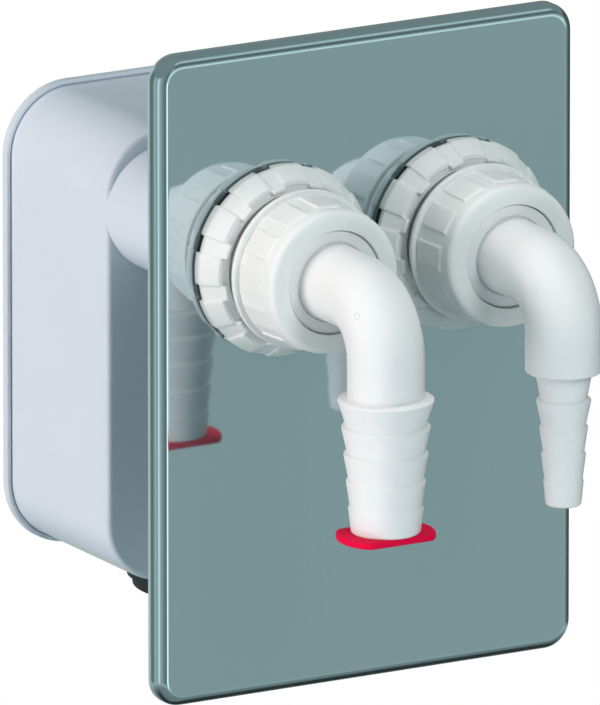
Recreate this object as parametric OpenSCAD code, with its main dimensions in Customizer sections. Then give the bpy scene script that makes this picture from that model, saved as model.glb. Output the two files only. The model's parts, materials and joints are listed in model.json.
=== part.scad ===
/* [Cover plate] */
// Width of the cover plate
plate_w = 129.8; // [124:0.1:150]
// Height of the cover plate
plate_h = 181.1; // [172:0.1:200]
// Distance from the inlet axes up to the plate's top edge
plate_above = 59.4; // [50:0.1:68]
// Depth of the plate from its face to its back rim
plate_depth = 5.9; // [5.2:0.1:7]
// Radius of the plate's corners, seen from the front
plate_corner_r = 7.8; // [6:0.1:14]
// Radius of the rolled edge between the face and the side
plate_roll_r = 3; // [1.5:0.1:4]
// Thickness of the steel sheet
sheet_t = 1; // [0.8:0.1:1.2]

/* [Housing] */
// Distance between the two inlet axes
inlet_spacing = 55.3; // [55:0.1:64]
// Outside diameter of the inlet necks
neck_d = 35; // [34:0.1:36]
// Bore of the inlet necks
neck_bore_d = 30; // [29.5:0.1:30.5]
// Distance from the plate's face back to the housing's front wall
wall_gap = 62.5; // [40:0.5:90]
// Height of the housing box
box_h = 127.4; // [118:0.1:150]
// Height of the box top above the inlet axes
box_above = 22.2; // [20:0.1:25]
// Depth of the box from its front wall to the rear cover
box_depth = 53.3; // [48:0.1:70]
// Radius of the box corners, seen from the front
box_corner_r = 18; // [14:0.5:22]
// Radius of the box's front edge
box_edge_r = 1.5; // [0.5:0.1:2.4]
// Wall thickness of the housing
wall_t = 2.5; // [2:0.1:3]
// Depth of water that seals the trap
seal_depth = 55; // [50:1:60]

/* [Outlet] */
// Outside diameter of the outlet spigot's sealing ring
outlet_seal_d = 42; // [40:0.1:44]
// Outside diameter of the outlet spigot
outlet_d = 35.6; // [34:0.1:36]
// Distance from the plate's face back to the outlet axis
outlet_depth = 89; // [87:0.5:91]

/* [Fittings] */
// Diameter of the castellated ring nut at the plate
ring_nut_d = 53; // [52:0.1:54]
// Height of the ring nut above the plate, to its teeth
ring_nut_h = 10; // [9.4:0.1:10.6]
// Number of grip pads round each nut, with a channel between each two
grip_pads = 12; // [10:1:14]
// Angle that each grip pad takes up
grip_pad_angle = 20.5; // [18:0.5:22]
// Diameter of the union nut's rear bead
union_nut_d = 44; // [43.4:0.1:45]
// Distance from the plate's face to the union nut's front
union_nut_front = 30.8; // [30:0.1:32]
// Outside diameter of the elbow's pipe
elbow_d = 20.9; // [20:0.1:22]
// Bore of the elbow's pipe
elbow_bore_d = 16.4; // [15:0.1:17]
// Radius of the elbow's bend, on its centre line
bend_r = 15.5; // [13:0.1:18]
// Distance from the plate's face to the elbow's leg
leg_reach = 57.8; // [55:0.1:66]
// Length of the elbow's leg below the inlet axis
leg_length = 62.7; // [56:0.1:70]
// Distance from the inlet axis down to the first hose barb
first_barb = 25.7; // [23:0.1:28]

/* [Hidden] */
$fn = 96;

// Clearances: a turning fit, a push fit, and the gap between faces that meet
turn_gap = 0.05;
push_gap = 0.1;
face_gap = 0.02;
// Overlap by which one shape enters another inside a single piece
weld = 0.5;

// Colours
pale_grey = [0.86, 0.89, 0.92];
white = [0.93, 0.93, 0.92];
steel = [0.48, 0.58, 0.60];
black = [0.08, 0.09, 0.09];
red = [0.72, 0.05, 0.17];

// Axes of the inlets
inlet_x = inlet_spacing / 2;
neck_r = neck_d / 2;
neck_bore_r = neck_bore_d / 2;

// Box: its walls line up with the outsides of the two necks
box_w = inlet_spacing + neck_d;
box_front = -wall_gap;
box_back = box_front - box_depth;
box_y = box_above - box_h / 2;
box_floor = box_above - box_h;
inner_floor = box_floor + wall_t;

// Rear cover: a thin lid whose rim stands out round the box
rim_out = 1.5;
cover_t = 2.3;
cover_edge_r = 0.8;
lip_h = 2.4;
lip_t = 1.8;
panel_inset = 14;
panel_recess = 0.7;
panel_rib_w = 3;

// Water passages, as ribs that run from the front wall to the rear cover
weir_rib_t = 2;
weir_half_w = 17;
dip_gap = 9;
dip_rib_t = 2;
floor_gap = 9.5;
dip_edge = inner_floor + floor_gap;
weir_top = dip_edge + seal_depth;
arch_clear = 12;
arch_r = 12;
arch_half_w = weir_half_w + dip_gap + dip_rib_t;
arch_top = weir_top + arch_clear + dip_rib_t;

// Outlet spigot and its rubber sleeve
outlet_wall = 3;
outlet_seal_r = outlet_seal_d / 2;
outlet_r = outlet_d / 2;
outlet_seal_h = 7.5;
outlet_lip_h = 3.3;
outlet_lip_r = outlet_seal_r - 1.5;
outlet_groove_r = outlet_seal_r - 2.4;
outlet_groove_h = 0.5;
spigot_l = outlet_seal_h + outlet_lip_h - 1.3;
outlet_end = box_floor - face_gap - outlet_seal_h;

// Plate position
plate_y = plate_above - plate_h / 2;
plate_hole_gap = 0.3;

// Nipple: rear spigot in the neck, flange behind the plate, and in front the lands of the ring
// nut's thread and the union nut's
nut_thread_r = 18.6;
union_thread_r = 17.2;
thread_runout = 0.6;
nipple_bore_r = 11;
nipple_wide_bore_r = 12.5;
nipple_rear = -30;
nipple_flange_r = 22.5;
nipple_flange_t = 2.9;
nipple_spigot_r = neck_bore_r - push_gap;
nipple_front = 21.6;
nut_thread_end = 10.2;
seat_bore_r = 12.05;
seat_bore_end = 8.6;
groove_w = 2.6;
groove_depth = 1.6;
neck_seal_t = -20;

// Gasket under the ring nut
gasket_t = 1.7;
gasket_r = ring_nut_d / 2 - 1.8;

// Ring nut: a cone that carries the grip pads, a crown of teeth, and a deep well inside them.
// Each pad runs down to the plate as a skirt; between the skirts the gasket shows.
grip_step = 360 / grip_pads;
grip_phase = 13;
ring_nut_r = ring_nut_d / 2;
ring_skirt_low = 0.25;
ring_skirt_high = 3.4;
ring_pad_rise = 0.45;
ring_pad_top = ring_nut_h - 1.4;
ring_pad_top_r = ring_nut_r - 3.1;
ring_tooth_r = ring_nut_r - 4;
ring_crown_t = 1.5;
tooth_inset = 0.4;
ring_well = 4.4;

// Union nut: a tapered body with raised grip pads in front of a round bead
union_r = union_nut_d / 2;
union_rear = 11.6;
bead_start = 12.6;
bead_w = 1.7;
union_body_r = union_r - 1.45;
union_front_r = 19.85;
union_hole_r = 14.4;
union_lip_t = 3.8;
union_edge_r = 1.2;
union_pad_rise = 0.75;
union_pad_low = bead_start + bead_w + 0.7;
union_pad_high = 24.6;
union_pad_end = 26.4;

// Elbow: spigot in the nipple, collar behind the union nut's lip, hub in its hole
elbow_r = elbow_d / 2;
elbow_bore_r = elbow_bore_d / 2;
elbow_spigot_r = seat_bore_r - turn_gap;
elbow_spigot_end = seat_bore_end + 0.9;
collar_r = 16.8;
collar_t = 4.5;
collar_start = nipple_front + turn_gap;
collar_end = collar_start + collar_t;
hub_r = union_hole_r - 0.15;
hub_end = union_nut_front - 1;
washer_t = 0.7;
washer_start = union_nut_front - union_lip_t - face_gap - washer_t;
elbow_groove_t = 13.6;
elbow_groove_w = 2.2;
elbow_groove_depth = 1.4;
spigot_chamfer = 0.5;
hub_edge_r = 0.4;
// Fillet between the hub's face and the pipe
root_r = 0.7;
root_rise = 0.2;

// Gate mark: a dimple this far along the bend, and round the pipe from its side to the bend's outside
gate_r = 0.8;
gate_depth = 0.4;
gate_along = 48;
gate_round = 30;

// Hose tails: diameters at each barb's crest and at the foot of its slope
last_barb = 7;
barb_land = 0.5;
barb_shoulder = 0.5;
barb_chamfer = 0.25;
tail_chamfer = 0.4;
bore_narrows = 2.2;
bore_narrow = 1;
large_crest_d = [26.1, 24.1, 22.9, 21.5, 20.3];
large_foot_d = [21.9, 21.2, 20.4, 19.6, 18.9];
small_crest_d = [15.3, 14.9, 13.2, 12.1, 10.9];
small_foot_d = [12.8, 12.1, 11.2, 10.4, 9.7];
barb_pitch = (leg_length - first_barb - last_barb) / (len(large_crest_d) - 1);
large_tail_bore_r = 7.9;
small_tail_bore_r = 3.4;

// Blanking plug
plug_flange_r = 13.5;
plug_flange_t = 1.9;
plug_flat = 9.5;
plug_depth = 13;
plug_wall = 1.4;
plug_r = large_tail_bore_r - 0.04;

function arc(cx, cy, r, a0, a1, n = 6) =
  [for (i = [0:n]) let (a = a0 + (a1 - a0) * i / n) [cx + r * cos(a), cy + r * sin(a)]];

// Everything is laid out on the wall: x to the right, y up, z out of the wall from the plate's
// face. This turns it upright, with the origin on the outlet axis at the sealing ring's lower edge.
module upright() {
  translate([0, -outlet_depth, -outlet_end]) rotate([90, 0, 0]) children();
}

// Places a turned piece on one inlet axis: side is -1 for left and 1 for right
module on_inlet(side) {
  translate([side * inlet_x, 0, 0]) children();
}

module at_elbow_leg() {
  translate([0, 0, leg_reach]) rotate([90, 0, 0]) children();
}

module rounded_rect(w, h, r) {
  square([w, h - 2 * r], center = true);
  square([w - 2 * r, h], center = true);
  for (sx = [-1, 1], sy = [-1, 1])
    translate([sx * (w / 2 - r), sy * (h / 2 - r)]) circle(r = r);
}

// A rounded rectangular slab whose edge follows a profile: x runs out from the corner's centre,
// y is the height. low and high are the slab's faces inside the edge.
module edged_slab(w, h, r, low, high, profile) {
  translate([-(w / 2 - r), -(h / 2 - r), low]) cube([w - 2 * r, h - 2 * r, high - low]);
  for (k = [0:3]) rotate([0, 0, 90 * k]) {
    across = k % 2 == 0 ? w : h;
    along = k % 2 == 0 ? h : w;
    translate([across / 2 - r, 0, 0]) rotate([90, 0, 0])
      linear_extrude(along - 2 * r, center = true) polygon(profile);
    translate([across / 2 - r, along / 2 - r, 0]) rotate_extrude(angle = 90) polygon(profile);
  }
}

module housing_shell() {
  outside = concat(
    [[0, box_back], [box_corner_r, box_back]],
    arc(box_corner_r - box_edge_r, box_front - box_edge_r, box_edge_r, 0, 90),
    [[0, box_front]]
  );
  difference() {
    union() {
      translate([0, box_y, 0])
        edged_slab(box_w, box_h, box_corner_r, box_back, box_front, outside);
      for (side = [-1, 1]) on_inlet(side)
        translate([0, 0, box_front - wall_t / 2])
          cylinder(r = neck_r, h = wall_gap + wall_t / 2 - nipple_flange_t - sheet_t - push_gap);
      translate([0, box_floor + wall_t / 2, -outlet_depth]) rotate([90, 0, 0])
        cylinder(r = outlet_r, h = spigot_l + wall_t / 2);
    }
    translate([0, box_y, box_back - 1]) linear_extrude(box_depth - wall_t + 1)
      rounded_rect(box_w - 2 * wall_t, box_h - 2 * wall_t, box_corner_r - wall_t);
    for (side = [-1, 1]) on_inlet(side)
      translate([0, 0, box_front - wall_t - 1]) cylinder(r = neck_bore_r, h = wall_gap + wall_t + 1);
    translate([0, inner_floor + 1, -outlet_depth]) rotate([90, 0, 0])
      cylinder(r = outlet_r - outlet_wall, h = spigot_l + wall_t + 2);
  }
}

// The dip wall is an arch over the weir channel; both run the full depth of the box
module dip_wall_outline() {
  arch_h = 2 * (arch_top - dip_edge);
  intersection() {
    translate([0, dip_edge]) difference() {
      rounded_rect(2 * arch_half_w, arch_h, arch_r);
      rounded_rect(2 * (arch_half_w - dip_rib_t), arch_h - 2 * dip_rib_t, arch_r - dip_rib_t);
    }
    translate([-box_w / 2, dip_edge]) square([box_w, box_h]);
  }
}

module weir_outline() {
  for (side = [-1, 1])
    translate([side * (weir_half_w - weir_rib_t / 2) - weir_rib_t / 2, inner_floor - weld])
      square([weir_rib_t, weir_top - inner_floor + weld]);
}

module housing() {
  color(pale_grey) upright() {
    housing_shell();
    translate([0, 0, box_back]) linear_extrude(box_depth - wall_t + weld) {
      dip_wall_outline();
      weir_outline();
    }
  }
}

module rear_cover() {
  w = box_w + 2 * rim_out;
  h = box_h + 2 * rim_out;
  r = box_corner_r + rim_out;
  seat = box_back - face_gap;
  back = seat - cover_t;
  outside = concat(
    [[0, back]],
    arc(r - cover_edge_r, back + cover_edge_r, cover_edge_r, -90, 0, 4),
    arc(r - cover_edge_r / 2, seat - cover_edge_r / 2, cover_edge_r / 2, 0, 90, 3),
    [[0, seat]]
  );
  lip_w = box_w - 2 * wall_t - 2 * push_gap;
  lip_box_h = box_h - 2 * wall_t - 2 * push_gap;
  lip_r = box_corner_r - wall_t - push_gap;
  color(pale_grey) upright() translate([0, box_y, 0]) {
    difference() {
      edged_slab(w, h, r, back, seat, outside);
      translate([0, 0, back - 1]) linear_extrude(panel_recess + 1) difference() {
        rounded_rect(w - 2 * panel_inset, h - 2 * panel_inset, r - panel_inset / 2);
        square([panel_rib_w, h], center = true);
        for (k = [-1:1]) translate([0, k * h / 4]) square([w, panel_rib_w], center = true);
      }
    }
    difference() {
      translate([0, 0, seat - weld]) linear_extrude(lip_h + weld) difference() {
        rounded_rect(lip_w, lip_box_h, lip_r);
        rounded_rect(lip_w - 2 * lip_t, lip_box_h - 2 * lip_t, lip_r - lip_t);
      }
      for (side = [-1, 1])
        translate([side * (weir_half_w - weir_rib_t / 2), -box_h / 2, seat + lip_h])
          cube([weir_rib_t + 2 * push_gap, 4 * lip_t + 2 * wall_t, 2 * lip_h], center = true);
    }
  }
}

// Rubber sleeve on the outlet spigot: a tall sealing ring over a narrower entry lip
module outlet_seal() {
  top = outlet_seal_h;
  outer = concat(
    [[outlet_r + face_gap, -outlet_lip_h], [outlet_lip_r - 0.8, -outlet_lip_h]],
    arc(outlet_lip_r - 0.8, -outlet_lip_h + 0.8, 0.8, -90, 0, 4),
    [[outlet_lip_r, -outlet_groove_h], [outlet_groove_r, -outlet_groove_h], [outlet_groove_r, 0]],
    [[outlet_seal_r, 0], [outlet_seal_r, top], [outlet_r + face_gap, top]]
  );
  color(black) upright() translate([0, outlet_end, -outlet_depth]) rotate([-90, 0, 0])
    rotate_extrude() polygon(outer);
}

module cover_plate() {
  r = plate_corner_r;
  p = plate_roll_r;
  edge = concat(
    [[0, 0]],
    arc(r - p, -p, p, 90, 0, 8),
    [[r, -plate_depth], [r - sheet_t, -plate_depth]],
    arc(r - p, -p, p - sheet_t, 0, 90, 8),
    [[0, -sheet_t]]
  );
  color(steel) upright() difference() {
    translate([0, plate_y, 0]) edged_slab(plate_w, plate_h, r, -sheet_t, 0, edge);
    for (side = [-1, 1]) on_inlet(side)
      translate([0, 0, -sheet_t - 1]) cylinder(r = nut_thread_r + plate_hole_gap, h = sheet_t + 2);
  }
}

// Rubber gasket between the plate and the ring nut
module wall_gasket(side) {
  color(black) upright() on_inlet(side) difference() {
    translate([0, 0, face_gap]) cylinder(r = gasket_r, h = gasket_t - face_gap);
    translate([0, 0, -1]) cylinder(r = nut_thread_r + plate_hole_gap, h = gasket_t + 2);
  }
}

module nipple(side) {
  plate_back = -sheet_t - face_gap;
  groove_r = nipple_spigot_r - groove_depth;
  outer = concat(
    [[nipple_wide_bore_r, nipple_rear], [nipple_spigot_r - 0.6, nipple_rear]],
    [[nipple_spigot_r, nipple_rear + 0.8], [nipple_spigot_r, neck_seal_t - groove_w / 2]],
    [[groove_r, neck_seal_t - groove_w / 2], [groove_r, neck_seal_t + groove_w / 2]],
    [[nipple_spigot_r, neck_seal_t + groove_w / 2]],
    [[nipple_spigot_r, plate_back - nipple_flange_t], [nipple_flange_r, plate_back - nipple_flange_t]],
    [[nipple_flange_r, plate_back], [nut_thread_r, plate_back]],
    [[nut_thread_r, nut_thread_end - thread_runout], [nut_thread_r - thread_runout, nut_thread_end]],
    [[union_thread_r - thread_runout, nut_thread_end]],
    [[union_thread_r - thread_runout, nut_thread_end + thread_runout]],
    [[union_thread_r, nut_thread_end + 2 * thread_runout], [union_thread_r, nipple_front - 1]],
    [[union_thread_r - 1, nipple_front], [seat_bore_r + 0.6, nipple_front]],
    [[seat_bore_r, nipple_front - 0.6], [seat_bore_r, seat_bore_end], [nipple_bore_r, seat_bore_end - 1]],
    [[nipple_bore_r, -6], [nipple_wide_bore_r, -9]]
  );
  color(white) upright() on_inlet(side) rotate_extrude() polygon(outer);
}

module neck_seal(side) {
  low = nipple_spigot_r - groove_depth + face_gap;
  high = neck_bore_r - face_gap;
  color(black) upright() on_inlet(side)
    translate([0, 0, neck_seal_t]) rotate_extrude() translate([(low + high) / 2, 0])
      circle(r = (high - low) / 2, $fn = 32);
}

// Repeats a shape round a nut, once for each grip pad. It starts at the pad's first edge.
module each_pad() {
  for (k = [0:grip_pads - 1])
    rotate([0, 0, grip_phase + (grip_step - grip_pad_angle) / 2 + k * grip_step]) children();
}

module ring_nut(side) {
  inner_r = nut_thread_r + push_gap;
  seat = gasket_t + face_gap;
  rise = ring_pad_rise;
  crown_r = ring_pad_top_r - rise;
  channel = grip_step - grip_pad_angle;
  body = [
    [inner_r, seat], [ring_nut_r - rise - 0.3, seat], [ring_nut_r - rise, seat + 0.3],
    [ring_nut_r - rise, ring_skirt_high], [crown_r, ring_pad_top],
    [crown_r - ring_crown_t, ring_pad_top], [crown_r - ring_crown_t - 0.6, ring_well],
    [inner_r, ring_well]
  ];
  pad = [
    [gasket_r + 0.3, ring_skirt_low], [ring_nut_r - 0.3, ring_skirt_low],
    [ring_nut_r, ring_skirt_low + 0.3], [ring_nut_r, ring_skirt_high - 0.3],
    [ring_nut_r - 0.2, ring_skirt_high], [ring_pad_top_r + 0.1, ring_pad_top - 0.4],
    [ring_pad_top_r - 0.15, ring_pad_top - 0.15], [crown_r - weld, ring_pad_top - 0.15],
    [ring_nut_r - rise - weld - 0.6, ring_skirt_high + 0.3], [gasket_r + 0.3, seat + weld]
  ];
  tooth = [
    [crown_r - ring_crown_t + 0.3, ring_pad_top - weld], [crown_r - 0.3, ring_pad_top - weld],
    [crown_r - 0.12, ring_pad_top], [ring_tooth_r, ring_nut_h - 0.3],
    [ring_tooth_r - 0.3, ring_nut_h], [ring_tooth_r - ring_crown_t + 0.5, ring_nut_h],
    [crown_r - ring_crown_t + 0.2, ring_pad_top]
  ];
  color(white) upright() on_inlet(side) {
    rotate_extrude() polygon(body);
    each_pad() {
      rotate_extrude(angle = grip_pad_angle) polygon(pad);
      rotate([0, 0, tooth_inset - channel])
        rotate_extrude(angle = channel - 2 * tooth_inset) polygon(tooth);
    }
  }
}

module union_nut(side) {
  front = union_nut_front;
  cavity_r = union_thread_r + push_gap;
  slope = (union_body_r - union_front_r) / (front - union_edge_r - union_pad_low);
  end_r = union_body_r - slope * (union_pad_end - union_pad_low);
  body = concat(
    [[cavity_r + 0.6, union_rear], [union_body_r - 0.6, union_rear], [union_body_r, bead_start]],
    arc(union_r - bead_w / 2, bead_start + bead_w / 2, bead_w / 2, -80, 80, 6),
    [[union_body_r, bead_start + bead_w + 0.2]],
    arc(union_front_r - union_edge_r, front - union_edge_r, union_edge_r, 5, 90, 5),
    [[union_hole_r + 0.3, front], [union_hole_r, front - 0.3], [union_hole_r, front - union_lip_t]],
    [[cavity_r, front - union_lip_t], [cavity_r, union_rear + 0.6]]
  );
  pad = [
    [union_body_r - weld, union_pad_low], [union_body_r + union_pad_rise - 0.25, union_pad_low],
    [union_body_r + union_pad_rise, union_pad_low + 0.3],
    [union_body_r + union_pad_rise - slope * (union_pad_high - union_pad_low), union_pad_high],
    [end_r - push_gap, union_pad_end], [end_r - weld, union_pad_end]
  ];
  color(white) upright() on_inlet(side) {
    rotate_extrude() polygon(body);
    each_pad() rotate_extrude(angle = grip_pad_angle) polygon(pad);
  }
}

module slip_washer(side) {
  color(black) upright() on_inlet(side) difference() {
    translate([0, 0, washer_start]) cylinder(r = collar_r, h = washer_t);
    translate([0, 0, washer_start - 1]) cylinder(r = union_hole_r + 0.2, h = washer_t + 2);
  }
}

// Barbed tail as a turned profile: x is the radius, y the distance below the inlet axis
function tail_outline(crest_d, foot_d, first) = [
  for (i = [0:len(crest_d) - 1]) let (
    top = first_barb + i * barb_pitch,
    next = i < len(crest_d) - 1 ? top + barb_pitch - barb_shoulder : leg_length - tail_chamfer
  ) each [
    if (i > 0 || first) [crest_d[i] / 2 - barb_chamfer, top],
    [crest_d[i] / 2, top + barb_land / 2],
    [crest_d[i] / 2, top + barb_land],
    [foot_d[i] / 2, next]
  ]
];

// A ring within the elbow's wall, half of it on each side of a joint between two of its shapes
module wall_tie() {
  wall = elbow_r - elbow_bore_r;
  rotate_extrude() translate([elbow_bore_r + wall / 3, -weld]) square([wall / 3, 2 * weld]);
}

module elbow_body(crest_d, foot_d, large) {
  groove_r = elbow_spigot_r - elbow_groove_depth;
  bend_start = leg_reach - bend_r;
  end_r = foot_d[len(foot_d) - 1] / 2;
  tail_bore_r = large ? large_tail_bore_r : small_tail_bore_r;
  head = concat(
    [[elbow_bore_r, elbow_spigot_end], [elbow_spigot_r - spigot_chamfer, elbow_spigot_end]],
    [[elbow_spigot_r, elbow_spigot_end + spigot_chamfer], [elbow_spigot_r, elbow_groove_t]],
    [[groove_r, elbow_groove_t], [groove_r, elbow_groove_t + elbow_groove_w]],
    [[elbow_spigot_r, elbow_groove_t + elbow_groove_w], [elbow_spigot_r, collar_start]],
    [[collar_r, collar_start], [collar_r, collar_end], [hub_r, collar_end]],
    arc(hub_r - hub_edge_r, hub_end - hub_edge_r, hub_edge_r, 0, 80, 3),
    arc(elbow_r + root_r, hub_end + root_r + root_rise, root_r, 255, 180, 5),
    [[elbow_r, bend_start], [elbow_bore_r, bend_start]]
  );
  leg = concat(
    [[elbow_bore_r, bend_r], [elbow_r, bend_r]],
    large ? [[elbow_r, first_barb - barb_shoulder]] : [
      [elbow_r, first_barb - barb_chamfer - tail_chamfer],
      [elbow_r - tail_chamfer, first_barb - barb_chamfer], [crest_d[0] / 2, first_barb - barb_chamfer]
    ],
    tail_outline(crest_d, foot_d, large),
    [[end_r - tail_chamfer, leg_length], [tail_bore_r, leg_length]],
    [[tail_bore_r, first_barb + bore_narrow], [elbow_bore_r, first_barb - bore_narrows]]
  );
  difference() {
    union() {
      rotate_extrude() polygon(head);
      translate([0, -bend_r, bend_start]) rotate([0, -90, 0]) rotate_extrude(angle = 90)
        translate([bend_r, 0]) difference() {
          circle(r = elbow_r);
          circle(r = elbow_bore_r);
        }
      at_elbow_leg() rotate_extrude() polygon(leg);
      translate([0, 0, bend_start]) wall_tie();
      at_elbow_leg() translate([0, 0, bend_r]) wall_tie();
    }
    translate([0, -bend_r, bend_start]) rotate([gate_along, 0, 0]) translate([0, bend_r, 0])
      rotate([0, 0, -gate_round]) rotate([0, -90, 0]) translate([0, 0, elbow_r - gate_depth])
        cylinder(r = gate_r, h = 2 * gate_depth, $fn = 32);
  }
}

module elbow_left() {
  color(white) upright() on_inlet(-1) elbow_body(large_crest_d, large_foot_d, true);
}

module elbow_right() {
  color(white) upright() on_inlet(1) elbow_body(small_crest_d, small_foot_d, false);
}

module elbow_seal(side) {
  low = elbow_spigot_r - elbow_groove_depth + face_gap;
  high = seat_bore_r - 0.03;
  color(black) upright() on_inlet(side)
    translate([0, 0, elbow_groove_t + elbow_groove_w / 2]) rotate_extrude()
      translate([(low + high) / 2, 0]) circle(r = (high - low) / 2, $fn = 32);
}

// Push-in plug in the large tail, with two flats on its flange to pull it by
module blanking_plug() {
  seat = leg_length + face_gap;
  color(red) upright() on_inlet(-1) at_elbow_leg() {
    intersection() {
      rotate_extrude() polygon(concat(
        [[0, seat], [plug_flange_r - 0.4, seat]],
        arc(plug_flange_r - 0.5, seat + 0.5, 0.5, -60, 0, 3),
        arc(plug_flange_r - 0.5, seat + plug_flange_t - 0.5, 0.5, 0, 90, 4),
        [[0, seat + plug_flange_t]]
      ));
      translate([-2 * plug_flange_r, -plug_flat, seat - 1])
        cube([4 * plug_flange_r, 2 * plug_flat, plug_flange_t + 2]);
    }
    rotate_extrude() polygon([
      [plug_r - plug_wall, seat - plug_depth], [plug_r - 0.5, seat - plug_depth],
      [plug_r, seat - plug_depth + 1.2], [plug_r, seat + weld],
      [plug_r - plug_wall, seat + weld]
    ]);
  }
}

housing();
rear_cover();
outlet_seal();
cover_plate();
wall_gasket(-1);  // wall_gasket_left
wall_gasket(1);  // wall_gasket_right
nipple(-1);  // nipple_left
nipple(1);  // nipple_right
neck_seal(-1);  // neck_seal_left
neck_seal(1);  // neck_seal_right
ring_nut(-1);  // ring_nut_left
ring_nut(1);  // ring_nut_right
union_nut(-1);  // union_nut_left
union_nut(1);  // union_nut_right
slip_washer(-1);  // slip_washer_left
slip_washer(1);  // slip_washer_right
elbow_left();
elbow_right();
elbow_seal(-1);  // elbow_seal_left
elbow_seal(1);  // elbow_seal_right
blanking_plug();
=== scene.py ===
"""Looks of a concealed appliance trap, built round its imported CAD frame.

Each operator below makes one piece or one group of like pieces, and one makes the studio.
"""

import json
import math

import bmesh
import bpy
from bpy.props import FloatProperty, FloatVectorProperty, IntProperty, PointerProperty
from mathutils import Matrix, Vector
from mathutils.geometry import tessellate_polygon


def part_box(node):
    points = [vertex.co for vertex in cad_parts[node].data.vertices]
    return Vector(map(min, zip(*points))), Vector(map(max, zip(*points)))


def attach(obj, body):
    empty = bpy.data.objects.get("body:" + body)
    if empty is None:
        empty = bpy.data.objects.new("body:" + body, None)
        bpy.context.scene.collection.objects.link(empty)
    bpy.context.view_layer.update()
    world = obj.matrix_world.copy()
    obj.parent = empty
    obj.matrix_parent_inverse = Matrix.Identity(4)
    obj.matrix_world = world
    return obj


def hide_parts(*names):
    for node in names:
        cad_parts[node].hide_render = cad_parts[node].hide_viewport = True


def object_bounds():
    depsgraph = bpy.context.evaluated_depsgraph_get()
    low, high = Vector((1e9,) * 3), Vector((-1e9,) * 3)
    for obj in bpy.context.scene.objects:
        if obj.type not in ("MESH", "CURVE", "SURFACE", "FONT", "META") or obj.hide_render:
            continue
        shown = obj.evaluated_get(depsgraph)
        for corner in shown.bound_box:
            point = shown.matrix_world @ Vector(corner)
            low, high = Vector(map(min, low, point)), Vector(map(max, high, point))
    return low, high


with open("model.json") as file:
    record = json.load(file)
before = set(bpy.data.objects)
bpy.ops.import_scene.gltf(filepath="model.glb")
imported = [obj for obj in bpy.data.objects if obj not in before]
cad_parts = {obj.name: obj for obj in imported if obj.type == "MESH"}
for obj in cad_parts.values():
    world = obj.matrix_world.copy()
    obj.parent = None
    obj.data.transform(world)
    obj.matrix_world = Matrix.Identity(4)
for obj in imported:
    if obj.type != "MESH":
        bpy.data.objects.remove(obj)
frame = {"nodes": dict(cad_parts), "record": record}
CAD_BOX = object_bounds()

bl_info = {
    "name": "Concealed trap looks",
    "version": (1, 0, 0),
    "blender": (4, 5, 0),
    "location": "3D View > Sidebar > Trap",
    "description": "Builds the finished surfaces of a concealed appliance trap",
    "category": "Object",
}

MM = 0.001
PHOTO_SIZE = (600, 705)
SIDES = {"left": -1, "right": 1}
BODY_OF_SIDE = {"left": "left_elbow", "right": "right_elbow"}


def middle_of(node):
    low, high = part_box(node)
    return (low + high) / 2


def extent_of(node):
    low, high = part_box(node)
    return high - low


PLATE_FACE_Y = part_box("cover_plate")[0].y
INLET_Z = middle_of("union_nut_left").z
INLET_X = middle_of("union_nut_right").x


# Settings


class PlateSettings(bpy.types.PropertyGroup):
    width: FloatProperty(
        name="Width", description="Width of the cover plate",
        default=extent_of("cover_plate").x, unit="LENGTH")
    height: FloatProperty(
        name="Height", description="Height of the cover plate",
        default=extent_of("cover_plate").z, unit="LENGTH")
    depth: FloatProperty(
        name="Depth", description="Depth from the face to the back rim",
        default=extent_of("cover_plate").y, unit="LENGTH")
    corner_radius: FloatProperty(
        name="Corner radius", description="Radius of the corners, seen from the front",
        default=7.8 * MM, unit="LENGTH")
    roll_radius: FloatProperty(
        name="Roll radius", description="Radius between the face and the side",
        default=3.2 * MM, unit="LENGTH")
    sheet: FloatProperty(
        name="Sheet", description="Thickness of the steel sheet",
        default=1 * MM, unit="LENGTH")
    hole_radius: FloatProperty(
        name="Hole radius", description="Radius of the two holes for the nipples",
        default=18.9 * MM, unit="LENGTH")


class NutSettings(bpy.types.PropertyGroup):
    pads: IntProperty(
        name="Pads", description="Number of grip pads round each nut", default=12, min=6, max=24)
    pad_angle: FloatProperty(
        name="Pad angle", description="Angle that each grip pad takes up",
        default=math.radians(20.5), subtype="ANGLE")
    phase: FloatProperty(
        name="Phase", description="Turn of the pads round the inlet axis",
        default=math.radians(13), subtype="ANGLE")
    wall: FloatProperty(
        name="Pad wall", description="Width over which a pad's side wall rises",
        default=0.45 * MM, unit="LENGTH")
    edge_radius: FloatProperty(
        name="Edge radius", description="Rounding of the moulded edges",
        default=0.28 * MM, unit="LENGTH")
    ring_radius: FloatProperty(
        name="Ring nut radius", description="Radius of the ring nut at its foot",
        default=extent_of("ring_nut_left").x / 2, unit="LENGTH")
    ring_height: FloatProperty(
        name="Ring nut height", description="Height of the ring nut's teeth above the plate",
        default=PLATE_FACE_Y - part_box("ring_nut_left")[0].y, unit="LENGTH")
    union_radius: FloatProperty(
        name="Union nut radius", description="Radius of the union nut's rear bead",
        default=extent_of("union_nut_left").x / 2, unit="LENGTH")
    union_front: FloatProperty(
        name="Union nut front", description="Distance from the plate to the union nut's front",
        default=PLATE_FACE_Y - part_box("union_nut_left")[0].y, unit="LENGTH")


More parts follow.
